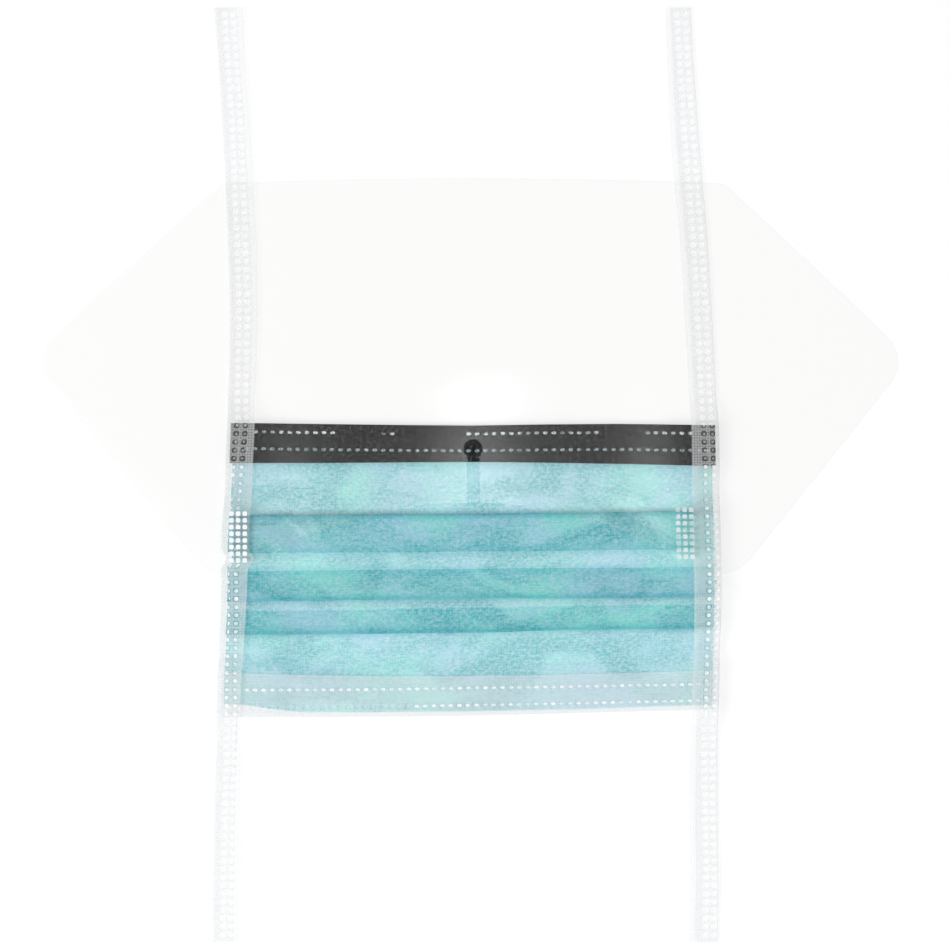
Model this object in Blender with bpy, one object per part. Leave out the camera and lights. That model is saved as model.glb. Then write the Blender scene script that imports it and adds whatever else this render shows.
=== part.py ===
"""A tie-on pleated face mask with a clear splash visor, lying flat on its back.

Metres, +Z up. +Y runs from the chin edge up to the visor's top edge, and +X to the right as seen from above.
The origin is the middle of the footprint, on the surface that the mask lies on.
"""

import math
from collections import namedtuple

import bmesh
import bpy
from mathutils import Vector

# Sizes of the cloth and the film
CLOTH_WALL = 0.001
LAYER_GAP = 0.0003
FILM_WALL = 0.0004

# Sizes of the pleated mask, its strip and its bottom binding
MASK_WIDTH = 0.1744
MASK_HEIGHT = 0.1019
STRIP_DEPTH = 0.0137
BINDING_DEPTH = 0.0142
CLOTH_RAMP = 0.005
SIDE_RAMP = 0.0122

# Sizes of the ties
TIE_WIDTH = 0.0100
TIE_REAR_WIDTH = 0.0079
TOP_TIE_LENGTH = 0.1461
BOTTOM_TIE_LENGTH = 0.0797
TIE_SLOPE = 0.45
EDGE_MARGIN = 0.0006
NICK_DEPTH = 0.0020
NICK_HEIGHT = 0.0046

# Sizes of the visor
VISOR_WIDTH = 0.2998
VISOR_RISE = 0.0859
VISOR_TOP_WIDTH = 0.1709
VISOR_TOP_BOW = 0.0017
VISOR_TIP_RISE = 0.0219
VISOR_TIP_RADIUS = 0.0119
VISOR_CORNER_RADIUS = 0.0053
VISOR_SKEW = 0.0010
LOBE_SPREAD = 0.1710
LOBE_RADIUS = 0.0140
ARCH_DROP = 0.0277
ARCH_RADIUS = 0.1463
KEYHOLE_RADIUS = 0.0032
KEYHOLE_RISE = 0.0191
SLOT_WIDTH = 0.0035

# How many layers the strip's front leg lies above the surface at the mask's sides, and the film over the mask,
# and how much of the film's height is left at its top edge
STRIP_TOP_LAYERS = 3
FILM_MIDDLE_LAYERS = 3
FILM_SIDE_LAYERS = 5
FILM_TOP_SHARE = 0.45

# Places that follow from the sizes
LAYER = CLOTH_WALL + LAYER_GAP
NOSE = LAYER / 2 + CLOTH_WALL / 2
HALF_WIDTH = MASK_WIDTH / 2
TOTAL_LENGTH = TOP_TIE_LENGTH + MASK_HEIGHT + BOTTOM_TIE_LENGTH
TIE_TOP = TOTAL_LENGTH / 2
MASK_TOP = TIE_TOP - TOP_TIE_LENGTH
MASK_BOTTOM = MASK_TOP - MASK_HEIGHT
TIE_BOTTOM = -TIE_TOP

# Lines across the mask, at these shares of its half width. Edges and folds are shares of MASK_HEIGHT below MASK_TOP.
# The inner edges of the strip and of the bottom binding are what they stray from their own depth, downwards.
ACROSS = (-1.0, -0.5, 0.0, 0.5, 1.0)
Line = namedtuple("Line", "left left_middle middle right_middle right")
TOP_EDGE = Line(-0.005, 0.000, 0.004, -0.002, 0.003)
STRIP_EDGE = Line(-0.001, -0.002, -0.005, 0.000, 0.009)
UPPER_FOLD = Line(0.318, 0.314, 0.311, 0.307, 0.302)
MIDDLE_FOLD = Line(0.610, 0.607, 0.602, 0.598, 0.593)
LOWER_FOLD = Line(0.726, 0.721, 0.715, 0.709, 0.701)
BINDING_EDGE = Line(-0.009, 0.003, 0.003, -0.004, -0.019)
BOTTOM_EDGE = Line(1.004, 1.006, 1.001, 0.991, 0.978)

# Depth of the cloth folded away behind each fold, as shares of MASK_HEIGHT
PleatDepths = namedtuple("PleatDepths", "upper middle lower")
PLEATS = PleatDepths(upper=0.103, middle=0.120, lower=0.083)
PLEAT_REST_SHARE = 0.72
MIDDLE_STEP_LEVEL = 1.1

# One row for each place along a tie: the run that it is in and its share of that run from the top, how far the
# outer fold lies outside the mask's side line, and the width there, both as shares of TIE_WIDTH.
TieRow = namedtuple("TieRow", "run share outward width")
LEFT_TIE = (
    TieRow("top", 0.00, 0.27, 1.02),
    TieRow("top", 0.13, 0.13, 0.98),
    TieRow("top", 0.27, -0.01, 0.98),
    TieRow("top", 0.40, -0.11, 0.99),
    TieRow("top", 0.56, -0.21, 1.02),
    TieRow("top", 0.70, -0.28, 1.00),
    TieRow("top", 0.85, -0.27, 0.98),
    TieRow("top", 0.94, -0.22, 0.95),
    TieRow("side", 0.00, -0.23, 0.95),
    TieRow("side", 0.14, -0.16, 0.97),
    TieRow("side", 0.28, -0.09, 0.97),
    TieRow("side", 0.44, 0.00, 0.97),
    TieRow("side", 0.60, -0.01, 0.90),
    TieRow("side", 0.77, 0.08, 0.90),
    TieRow("side", 0.95, 0.14, 0.82),
    TieRow("bottom", 0.00, 0.16, 0.82),
    TieRow("bottom", 0.20, 0.21, 0.86),
    TieRow("bottom", 0.37, 0.26, 0.90),
    TieRow("bottom", 0.55, 0.28, 0.90),
    TieRow("bottom", 0.73, 0.32, 0.93),
    TieRow("bottom", 1.00, 0.33, 0.93),
)
RIGHT_TIE = (
    TieRow("top", 0.00, -1.00, 0.92),
    TieRow("top", 0.13, -0.90, 0.94),
    TieRow("top", 0.27, -0.75, 0.97),
    TieRow("top", 0.40, -0.61, 1.00),
    TieRow("top", 0.56, -0.40, 0.97),
    TieRow("top", 0.70, -0.28, 0.98),
    TieRow("top", 0.85, -0.16, 0.99),
    TieRow("top", 0.94, -0.09, 0.98),
    TieRow("side", 0.00, -0.04, 0.97),
    TieRow("side", 0.28, 0.00, 0.97),
    TieRow("side", 0.54, 0.04, 0.97),
    TieRow("side", 0.78, 0.00, 0.95),
    TieRow("side", 0.95, -0.04, 0.95),
    TieRow("bottom", 0.00, -0.06, 0.94),
    TieRow("bottom", 0.20, -0.06, 0.97),
    TieRow("bottom", 0.37, -0.06, 0.98),
    TieRow("bottom", 0.55, -0.05, 0.99),
    TieRow("bottom", 0.73, -0.02, 1.01),
    TieRow("bottom", 1.00, -0.07, 1.00),
)
SIDES = {-1: LEFT_TIE, 1: RIGHT_TIE}
RUNS = {
    "top": (TIE_TOP, TOP_TIE_LENGTH),
    "side": (MASK_TOP, MASK_HEIGHT),
    "bottom": (MASK_BOTTOM, BOTTOM_TIE_LENGTH),
}

# Where the small nick in the left side's fold lies, as a share of MASK_HEIGHT below MASK_TOP, and its corners
# above and below that place, as shares of NICK_HEIGHT
NICK_PLACE = 0.461
NICK_OUTLINE = (-0.5, -0.25, 0.25, 0.5)

# How finely the curved pieces are divided, and the steepest turn that is still shaded smooth
NOSE_STEPS = 4
RAMP_SHARES = (0, 0.33, 0.67, 1)
FOLD_CUT_SHARE = 0.3
SHARES_ACROSS = (-1, -0.93, -0.86, -0.79, -0.72, -0.6, -0.3, 0, 0.3, 0.6, 0.72, 0.79, 0.86, 0.93, 1)
SIDE_STEP = 0.0026
FREE_STEP = 0.009
HEIGHT_STEP = 0.0005
FILM_STEP = 0.012
CORNER_STEPS = 6
ARCH_STEPS = 18
KEYHOLE_STEPS = 12
MERGE_DISTANCE = 0.00001
SMOOTH_ANGLE = math.radians(40)


def smooth(share):
    share = min(1.0, max(0.0, share))
    return share * share * (3 - 2 * share)


def blend(low, high, share):
    return low + (high - low) * share


def read_curve(places, values, place):
    """Reads a table's column at any place, along a smooth curve through its rows. Places run upwards."""
    if place <= places[0]:
        return values[0]
    if place >= places[-1]:
        return values[-1]
    slopes = []
    for i in range(len(places)):
        before = max(i - 1, 0)
        after = min(i + 1, len(places) - 1)
        slopes.append((values[after] - values[before]) / (places[after] - places[before]))
    i = next(k for k in range(len(places) - 1) if place <= places[k + 1])
    span = places[i + 1] - places[i]
    t = (place - places[i]) / span
    start = (2 * t**3 - 3 * t**2 + 1) * values[i] + (t**3 - 2 * t**2 + t) * span * slopes[i]
    end = (3 * t**2 - 2 * t**3) * values[i + 1] + (t**3 - t**2) * span * slopes[i + 1]
    return start + end


def read_line(line, x):
    """Shares of MASK_HEIGHT that a line across the mask has at x."""
    return read_curve(ACROSS, line, x / HALF_WIDTH)


def line_y(line, x):
    return MASK_TOP - read_line(line, x) * MASK_HEIGHT


def strip_edge_y(x):
    return MASK_TOP - STRIP_DEPTH - read_line(STRIP_EDGE, x) * MASK_HEIGHT


def binding_edge_y(x):
    return MASK_BOTTOM + BINDING_DEPTH - read_line(BINDING_EDGE, x) * MASK_HEIGHT


def tie_table(side):
    """A tie's rows as places from its lower end upwards, with the fold's x and the width at each."""
    rows = sorted((RUNS[row.run][0] - row.share * RUNS[row.run][1], row) for row in SIDES[side])
    places = [place for place, row in rows]
    folds = [side * (HALF_WIDTH + row.outward * TIE_WIDTH) for place, row in rows]
    widths = [row.width for place, row in rows]
    return places, folds, widths


TIE_TABLES = {side: tie_table(side) for side in SIDES}
NICK_Y = MASK_TOP - NICK_PLACE * MASK_HEIGHT
NICK_CORNERS = tuple(NICK_Y + share * NICK_HEIGHT for share in NICK_OUTLINE)


def nick(y):
    """How far the nick pushes the left fold in at y."""
    outer = NICK_OUTLINE[-1] * NICK_HEIGHT
    inner = NICK_OUTLINE[-2] * NICK_HEIGHT
    return NICK_DEPTH * min(1.0, max(0.0, (outer - abs(y - NICK_Y)) / (outer - inner)))


def fold_x(side, y):
    """The outer fold line of a tie."""
    places, folds, widths = TIE_TABLES[side]
    x = read_curve(places, folds, y)
    return x + nick(y) if side < 0 else x


def width_share(side, y):
    places, folds, widths = TIE_TABLES[side]
    return read_curve(places, widths, y)


def cloth_x(share, y):
    """X of the mask's cloth, from -1 at its left edge inside the left tie's fold to 1 at its right edge."""
    left = fold_x(-1, y) + LAYER
    right = fold_x(1, y) - LAYER
    return blend(left, right, (share + 1) / 2)


def inner_reach():
    """Half the width that no tie covers, at the narrowest."""
    reach = HALF_WIDTH
    for side in SIDES:
        for i in range(len(TIE_TABLES[side][0])):
            place = TIE_TABLES[side][0][i]
            if MASK_BOTTOM - CLOTH_RAMP <= place <= MASK_TOP + CLOTH_RAMP:
                width = TIE_TABLES[side][2][i] * TIE_WIDTH
                reach = min(reach, abs(TIE_TABLES[side][1][i]) - width)
    return reach - LAYER


OPEN_HALF = inner_reach()


def lift(x):
    """How far the cloth is held up by the ties' rear legs under its two sides."""
    return LAYER * smooth((abs(x) - OPEN_HALF + SIDE_RAMP) / SIDE_RAMP)


def base_height(x, y):
    """The underside of a single layer of the mask's cloth, over the strip's and the binding's rear legs."""
    under_strip = smooth((y - strip_edge_y(x) + CLOTH_RAMP) / CLOTH_RAMP)
    under_binding = smooth((binding_edge_y(x) + CLOTH_RAMP - y) / CLOTH_RAMP)
    return lift(x) + LAYER * max(under_strip, under_binding)


def step_level(x, y):
    """How many layers the third panel has climbed at y, from its own top down to the lower fold."""
    middle = line_y(MIDDLE_FOLD, x)
    rest = middle + PLEAT_REST_SHARE * PLEATS.middle * MASK_HEIGHT
    crest = line_y(LOWER_FOLD, x) + PLEATS.lower * MASK_HEIGHT
    if y >= rest:
        return 0.0
    if y >= middle:
        return MIDDLE_STEP_LEVEL * (rest - y) / (rest - middle)
    if y >= crest:
        return blend(MIDDLE_STEP_LEVEL, 2.0, (middle - y) / (middle - crest))
    return 2.0


def nose(y, facing, first_level, last_level):
    """The turn of a fold whose outermost point is at y, from one layer to the next."""
    middle = (first_level + last_level) / 2
    turn = []
    for i in range(NOSE_STEPS + 1):
        angle = math.pi * (i / NOSE_STEPS - 0.5)
        level = middle + math.sin(angle) * (last_level - first_level) / 2
        turn.append((y - facing * NOSE + facing * math.cos(angle) * LAYER / 2, level))
    return turn


def pleat_path(x):
    """The middle line of the cloth's section at x, from its top edge down, as (y, level)."""
    upper = line_y(UPPER_FOLD, x)
    middle = line_y(MIDDLE_FOLD, x)
    lower = line_y(LOWER_FOLD, x)
    upper_end = upper - PLEATS.upper * MASK_HEIGHT
    middle_end = middle + PLEATS.middle * MASK_HEIGHT
    lower_end = lower + PLEATS.lower * MASK_HEIGHT
    rest = middle + PLEAT_REST_SHARE * PLEATS.middle * MASK_HEIGHT
    climb = MIDDLE_STEP_LEVEL
    strip = strip_edge_y(x)
    binding = binding_edge_y(x)
    path = [(line_y(TOP_EDGE, x) - LAYER, 0)]
    path += [(strip - share * CLOTH_RAMP, 0) for share in RAMP_SHARES]
    path += nose(upper_end, -1, 0, 1)
    path += nose(upper, 1, 1, 2)
    path += [(corner, 2) for corner in reversed(NICK_CORNERS) if rest < corner < upper - 2 * NOSE]
    path += [(rest, 2)]
    path += nose(middle, -1, 2 + climb, 1 + climb)
    path += [(rest, 1)]
    path += nose(middle_end, 1, 1, 0)
    path += [(rest, 0), (middle, climb), (lower_end, 2)]
    path += nose(lower, -1, 2, 1)
    path += nose(lower_end, 1, 1, 0)
    path += [(binding + share * CLOTH_RAMP, 0) for share in reversed(RAMP_SHARES)]
    path += [(line_y(BOTTOM_EDGE, x) + LAYER, 0)]
    return path


def wall_ring(path):
    """The closed outline of a cloth wall along a middle line in a plane."""
    half = CLOTH_WALL / 2
    front = []
    back = []
    for i, point in enumerate(path):
        before = path[max(i - 1, 0)]
        after = path[min(i + 1, len(path) - 1)]
        inward = (point - before).normalized() if i else (after - point).normalized()
        onward = (after - point).normalized() if i < len(path) - 1 else inward
        along = (inward + onward).normalized()
        across = Vector((-along.y, along.x))
        reach = half / max(0.5, across.dot(Vector((-inward.y, inward.x))))
        front.append(point + across * reach)
        back.append(point - across * reach)
    return front + back[::-1]


def folded_ring(fold, facing, rear_reach, front_reach, rear_z, front_z):
    """The outline of a strip folded over an edge: the fold at one end, a rear leg and a front leg."""
    corner = CLOTH_WALL
    cut = FOLD_CUT_SHARE * corner
    top = front_z + CLOTH_WALL
    return [
        (fold - facing * rear_reach, rear_z),
        (fold - facing * corner, rear_z),
        (fold - facing * cut, rear_z + cut),
        (fold, rear_z + corner),
        (fold, top - corner),
        (fold - facing * cut, top - cut),
        (fold - facing * corner, top),
        (fold - facing * front_reach, top),
        (fold - facing * front_reach, front_z),
        (fold - facing * CLOTH_WALL, front_z),
        (fold - facing * CLOTH_WALL, rear_z + CLOTH_WALL),
        (fold - facing * rear_reach, rear_z + CLOTH_WALL),
    ]


def loft(rings, split_ends=False):
    """A closed body through rings of as many points each, extruded from the first ring's face.

    The end faces of a wall can be split across its thickness, so that they follow the cloth's uneven edges.
    """
    work = bmesh.new()
    start = [work.verts.new(point) for point in rings[0]]
    cap = work.faces.new(start)
    for ring in rings[1:]:
        grown = bmesh.ops.extrude_face_region(work, geom=[cap, *cap.edges, *cap.verts])["geom"]
        cap = next(item for item in grown if isinstance(item, bmesh.types.BMFace))
        for vert, point in zip(cap.verts, ring):
            vert.co = point
    for verts in (start, cap.verts[:]) if split_ends else ():
        for i in range(1, len(verts) // 2 - 1):
            bmesh.ops.connect_verts(work, verts=[verts[i], verts[-1 - i]])
    return work


def finish(work, name, material):
    """Makes an object of a mesh, with its faces pointing outwards."""
    bmesh.ops.recalc_face_normals(work, faces=work.faces)
    mesh = bpy.data.meshes.new(name)
    work.to_mesh(mesh)
    work.free()
    mesh.shade_smooth()
    mesh.set_sharp_from_angle(angle=SMOOTH_ANGLE)
    mesh.materials.append(material)
    piece = bpy.data.objects.new(name, mesh)
    bpy.context.scene.collection.objects.link(piece)
    return piece


def make_material(name, colour, roughness, alpha=1.0):
    material = bpy.data.materials.new(name)
    material.use_nodes = True
    shader = material.node_tree.nodes["Principled BSDF"]
    shader.inputs["Base Color"].default_value = (*colour, 1.0)
    shader.inputs["Roughness"].default_value = roughness
    shader.inputs["Metallic"].default_value = 0.0
    shader.inputs["Alpha"].default_value = alpha
    return material


def build_mask_body(material):
    """The teal cloth: one sheet in three pleats."""
    rings = []
    for share in SHARES_ACROSS:
        x = share * HALF_WIDTH
        middle_line = []
        for y, level in pleat_path(x):
            height = base_height(x, y) + LAYER * level
            middle_line.append(Vector((y, height + CLOTH_WALL / 2)))
        rings.append([(cloth_x(share, point.x), point.x, point.y) for point in wall_ring(middle_line)])
    return finish(loft(rings, split_ends=True), "mask_body", material)


def build_folded_edge(name, material, edge_line, inner_y, facing):
    """A strip folded over the cloth's top or bottom edge, between the two ties."""
    rings = []
    for share in SHARES_ACROSS:
        x = share * HALF_WIDTH
        fold = line_y(edge_line, x)
        reach = abs(fold - inner_y(x))
        rear = lift(x)
        ring = folded_ring(fold, facing, reach, reach, rear, rear + 2 * LAYER)
        rings.append([(cloth_x(share, y), y, z) for y, z in ring])
    return finish(loft(rings), name, material)


def layer_top(side, y):
    """The top of all that a tie's front leg lies over at y."""
    x = fold_x(side, y) - side * TIE_WIDTH / 2
    if y > line_y(TOP_EDGE, x) or y < line_y(BOTTOM_EDGE, x):
        return CLOTH_WALL
    if y >= strip_edge_y(x) or y <= binding_edge_y(x):
        return STRIP_TOP_LAYERS * LAYER + CLOTH_WALL
    level = 0
    if line_y(MIDDLE_FOLD, x) <= y <= line_y(UPPER_FOLD, x):
        level = 2 + step_level(x, y)
    elif line_y(LOWER_FOLD, x) <= y < line_y(MIDDLE_FOLD, x):
        level = step_level(x, y)
    return base_height(side * HALF_WIDTH, y) + LAYER * level + CLOTH_WALL


def layer_tops(side):
    """The heights under a tie's front leg, at close steps along the mask's side."""
    count = round((MASK_HEIGHT + 2 * CLOTH_RAMP) / HEIGHT_STEP)
    places = [MASK_BOTTOM - CLOTH_RAMP + i * HEIGHT_STEP for i in range(count + 1)]
    return [(place, layer_top(side, place)) for place in places]


def front_leg_z(tops, y):
    """The underside of the front leg: it spans the pleats' steps at no more than TIE_SLOPE."""
    reach = max(top - TIE_SLOPE * max(0.0, abs(y - place) - EDGE_MARGIN) for place, top in tops)
    return max(reach, CLOTH_WALL) + LAYER_GAP


def tie_places(side):
    """The places along a tie where its section is drawn, from its top end down."""
    ramp = STRIP_TOP_LAYERS * LAYER / TIE_SLOPE + FREE_STEP / 2
    top = MASK_TOP + ramp
    bottom = MASK_BOTTOM - ramp
    places = []
    for start, end, step in ((TIE_TOP, top, FREE_STEP), (top, bottom, SIDE_STEP), (bottom, TIE_BOTTOM, FREE_STEP)):
        count = max(1, math.ceil((start - end) / step))
        places += [blend(start, end, i / count) for i in range(count)]
    places.append(TIE_BOTTOM)
    if side > 0:
        return places
    clear = [place for place in places if all(abs(place - corner) > HEIGHT_STEP for corner in NICK_CORNERS)]
    return sorted(clear + list(NICK_CORNERS), reverse=True)


def build_tie(side, name, material):
    """One strip: the upper tie, the binding round the mask's side, and the lower tie."""
    tops = layer_tops(side)
    rings = []
    for y in tie_places(side):
        width = width_share(side, y)
        ring = folded_ring(
            fold_x(side, y), side, width * TIE_REAR_WIDTH, width * TIE_WIDTH, 0.0, front_leg_z(tops, y)
        )
        rings.append([(x, y, z) for x, z in ring])
    return finish(loft(rings), name, material)


def arc(centre, radius, start, end, steps):
    """Points along an arc, both ends among them."""
    angles = [blend(start, end, i / steps) for i in range(steps + 1)]
    return [(centre[0] + radius * math.cos(a), centre[1] + radius * math.sin(a)) for a in angles]


def tangent_angle(first, first_radius, second, second_radius):
    """The direction from each centre to a straight side that touches both circles, on its right."""
    run = (second[0] - first[0], second[1] - first[1])
    turn = math.acos((first_radius - second_radius) / math.hypot(*run))
    return math.atan2(run[1], run[0]) - turn


def arch_centre():
    return (VISOR_SKEW, MASK_TOP - ARCH_DROP - ARCH_RADIUS)


def lobe_centre(side):
    """A lobe's round corner touches the arch and keeps the lobes' spread."""
    rise = math.sqrt((ARCH_RADIUS + LOBE_RADIUS) ** 2 - (LOBE_SPREAD / 2) ** 2)
    return (VISOR_SKEW + side * LOBE_SPREAD / 2, arch_centre()[1] + rise)


def keyhole_points():
    """The slot and the round relief at the top of the arch, from its left side to its right."""
    half = SLOT_WIDTH / 2
    centre = (VISOR_SKEW, MASK_TOP - ARCH_DROP + KEYHOLE_RISE)
    half_mouth = math.asin(half / KEYHOLE_RADIUS)
    start = -math.pi / 2 - half_mouth
    end = start - 2 * (math.pi - half_mouth)
    foot = arch_centre()[1] + math.sqrt(ARCH_RADIUS**2 - half**2)
    ring = arc(centre, KEYHOLE_RADIUS, start, end, KEYHOLE_STEPS)
    return [(VISOR_SKEW - half, foot)] + ring + [(VISOR_SKEW + half, foot)]


def top_edge_points(right, left):
    """The visor's top edge, bowed up a little between its two corners."""
    points = []
    for i in range(1, CORNER_STEPS):
        share = i / CORNER_STEPS
        bow = VISOR_TOP_BOW * (1 - (2 * share - 1) ** 2)
        points.append((blend(right[0], left[0], share), blend(right[1], left[1], share) + bow))
    return points


def visor_outline():
    """The film's outline anticlockwise, from the left end of the arch."""
    tip_y = MASK_TOP + VISOR_TIP_RISE
    corner_y = MASK_TOP + VISOR_RISE - VISOR_TOP_BOW - VISOR_CORNER_RADIUS
    tip_x = VISOR_WIDTH / 2 - VISOR_TIP_RADIUS
    corner_x = VISOR_TOP_WIDTH / 2
    circles = [
        (lobe_centre(1), LOBE_RADIUS),
        ((tip_x, tip_y), VISOR_TIP_RADIUS),
        ((VISOR_SKEW + corner_x, corner_y), VISOR_CORNER_RADIUS),
        ((VISOR_SKEW - corner_x, corner_y), VISOR_CORNER_RADIUS),
        ((-tip_x, tip_y), VISOR_TIP_RADIUS),
        (lobe_centre(-1), LOBE_RADIUS),
    ]
    centre = arch_centre()
    to_right = math.atan2(lobe_centre(1)[1] - centre[1], LOBE_SPREAD / 2)
    to_left = math.pi - to_right
    slot = math.asin(SLOT_WIDTH / 2 / ARCH_RADIUS)
    points = arc(centre, ARCH_RADIUS, to_left, math.pi / 2 + slot, ARCH_STEPS // 2)[:-1]
    points += keyhole_points()
    points += arc(centre, ARCH_RADIUS, math.pi / 2 - slot, to_right, ARCH_STEPS // 2)[1:]
    turns = [to_right - math.pi]
    for (first, first_radius), (second, second_radius) in zip(circles, circles[1:]):
        turns.append(tangent_angle(first, first_radius, second, second_radius))
    turns.append(to_left - math.pi)
    for i, (middle, radius) in enumerate(circles):
        start = turns[i]
        end = turns[i + 1]
        while end < start:
            end += 2 * math.pi
        corner = arc(middle, radius, start, end, CORNER_STEPS)
        if i == len(circles) // 2:
            points += top_edge_points(points[-1], corner[0])
        points += corner[1:] if i == 0 else corner
    return points[:-1]


def bend_down(share):
    """The droop of a sheet held at one end, from 0 there to 1 at its free end."""
    share = min(1.0, max(0.0, share))
    return share * share * (3 - share) / 2


def film_z(x, y):
    """The underside of the film: over the bindings at the mask's sides, and down towards its free edges."""
    middle_height = FILM_MIDDLE_LAYERS * LAYER
    side_height = FILM_SIDE_LAYERS * LAYER
    if abs(x) < OPEN_HALF:
        height = blend(middle_height, side_height, (x / OPEN_HALF) ** 2)
    else:
        droop = bend_down((abs(x) - HALF_WIDTH) / (VISOR_WIDTH / 2 - HALF_WIDTH))
        height = blend(side_height, LAYER_GAP, droop)
    hold = blend(1.0, FILM_TOP_SHARE, bend_down((y - MASK_TOP) / VISOR_RISE))
    return LAYER_GAP + (height - LAYER_GAP) * hold


def build_visor(material):
    """The clear film, cut to its outline, divided so that it can bend, and given its thickness."""
    work = bmesh.new()
    work.faces.new([work.verts.new((x, y, 0)) for x, y in visor_outline()])
    for axis, low, high in ((0, -VISOR_WIDTH / 2, VISOR_WIDTH / 2), (1, MASK_BOTTOM, MASK_TOP + VISOR_RISE)):
        direction = Vector((1 - axis, axis, 0))
        count = round((high - low) / FILM_STEP)
        for i in range(1, count):
            place = direction * blend(low, high, i / count)
            everything = work.verts[:] + work.edges[:] + work.faces[:]
            bmesh.ops.bisect_plane(work, geom=everything, dist=MERGE_DISTANCE, plane_co=place, plane_no=direction)
    bmesh.ops.triangulate(work, faces=work.faces)
    for vert in work.verts:
        vert.co.z = film_z(vert.co.x, vert.co.y)
    grown = bmesh.ops.extrude_face_region(work, geom=work.faces[:], use_keep_orig=True)["geom"]
    top = [item for item in grown if isinstance(item, bmesh.types.BMVert)]
    bmesh.ops.translate(work, verts=top, vec=(0, 0, FILM_WALL))
    return finish(work, "visor", material)


def main():
    for item in list(bpy.data.objects):
        bpy.data.objects.remove(item, do_unlink=True)
    white = make_material("white_nonwoven", (0.86, 0.87, 0.87), 0.9)
    build_mask_body(make_material("teal_nonwoven", (0.30, 0.68, 0.68), 0.9))
    black = make_material("black_nonwoven", (0.03, 0.03, 0.035), 0.9)
    build_folded_edge("antiglare_strip", black, TOP_EDGE, strip_edge_y, 1)
    build_folded_edge("bottom_binding", white, BOTTOM_EDGE, binding_edge_y, -1)
    build_tie(-1, "tie_left", white)
    build_tie(1, "tie_right", white)
    build_visor(make_material("clear_film", (0.93, 0.95, 0.95), 0.08, alpha=0.2))


main()
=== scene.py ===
"""The looks of a tie-on pleated face mask with a clear splash visor, lying flat on its back.

Metres, +Z up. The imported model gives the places, and each soft piece here is a thin sheet that is bent to lie
inside the solid that it stands for.
"""

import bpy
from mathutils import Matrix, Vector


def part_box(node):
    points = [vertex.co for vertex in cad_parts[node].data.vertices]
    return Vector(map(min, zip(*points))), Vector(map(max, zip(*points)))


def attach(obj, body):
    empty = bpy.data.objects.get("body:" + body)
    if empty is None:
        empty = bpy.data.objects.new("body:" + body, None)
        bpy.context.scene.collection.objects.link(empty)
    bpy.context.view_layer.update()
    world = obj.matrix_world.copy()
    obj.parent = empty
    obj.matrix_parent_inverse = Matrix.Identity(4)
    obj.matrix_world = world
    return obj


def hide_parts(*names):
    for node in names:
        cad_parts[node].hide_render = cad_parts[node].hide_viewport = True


bl_info = {
    "name": "Face Mask Looks",
    "version": (1, 0, 0),
    "blender": (4, 5, 0),
    "location": "View3D > Sidebar > Face Mask",
    "description": "Makes the cloth, the bindings, the ties and the visor of a face mask, and its stage",
    "category": "Object",
}

import math
from collections import namedtuple

import bmesh
import bpy
import numpy as np
from bpy.props import FloatProperty, FloatVectorProperty, IntProperty, PointerProperty
from bpy.types import Operator, Panel, PropertyGroup
from mathutils import Vector, noise
from mathutils.bvhtree import BVHTree

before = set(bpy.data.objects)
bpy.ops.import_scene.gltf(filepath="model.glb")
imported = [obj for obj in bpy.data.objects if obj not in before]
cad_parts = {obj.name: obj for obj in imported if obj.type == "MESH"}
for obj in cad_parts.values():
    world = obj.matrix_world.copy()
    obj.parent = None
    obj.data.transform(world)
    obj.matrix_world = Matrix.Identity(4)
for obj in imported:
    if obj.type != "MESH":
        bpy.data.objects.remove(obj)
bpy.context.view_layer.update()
BODY = "root"

# Places read from the solids
CLOTH_LOW, CLOTH_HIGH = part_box("mask_body")
HALF_WIDTH = (CLOTH_HIGH.x - CLOTH_LOW.x) / 2
MASK_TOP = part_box("antiglare_strip")[1].y
MASK_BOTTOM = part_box("bottom_binding")[0].y
MASK_HEIGHT = MASK_TOP - MASK_BOTTOM

# Folds across the cloth, at these shares of its half width, as shares of MASK_HEIGHT below MASK_TOP
ACROSS = (-1.0, -0.5, 0.0, 0.5, 1.0)
FOLD_LINES = {
    "upper": (0.315, 0.311, 0.308, 0.304, 0.299),
    "middle": (0.606, 0.603, 0.598, 0.594, 0.589),
    "lower": (0.721, 0.716, 0.710, 0.704, 0.696),
}
PLEAT_DEPTHS = {"upper": 0.130, "middle": 0.101, "lower": 0.082}
PLEAT_REST_SHARE = 0.72
MIDDLE_STEP_LEVEL = 1.1

# Stretches of the black strip's upper row where the weld spots have taken, from left to right
TICK_STRETCHES = ((-0.0765, -0.0465), (-0.0320, -0.0270), (-0.0015, 0.0455), (0.0610, 0.0780))

# From here to the right, the weld dots of the binding's lower row are white
LOWER_WELDS_START = -0.0215

# How far the cloth's lower edge lies inside the bottom fold, in metres, at shares of the half width
TUCK_PLACES = (-1.0, -0.92, -0.80, -0.68, 1.0)
TUCK_DEPTHS = (0.0046, 0.0043, 0.0030, 0.0017, 0.0014)

# Short wrinkles in the cloth's lowest part: each one's left end, right end and height on the mask
WRINKLES = ((-0.0830, -0.0560, -0.0652), (-0.0690, -0.0400, -0.0690))

# Weld dots along the ties: the outer row's distance from the fold, at shares of the length from the top
DotLine = namedtuple("DotLine", "places distances")
TIE_DOTS = {
    "left": DotLine(
        (0.0, 0.31, 0.40, 0.445, 0.475, 0.524, 0.60, 0.69, 0.759, 1.0),
        (0.0034, 0.0030, 0.0030, 0.0035, 0.0031, 0.0023, 0.0023, 0.0031, 0.0036, 0.0036),
    ),
    "right": DotLine((0.0, 0.16, 0.45, 0.60, 0.74, 1.0), (0.0022, 0.0021, 0.0025, 0.0013, 0.0018, 0.0014)),
}
ROW_SPACING = 0.0029

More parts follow.
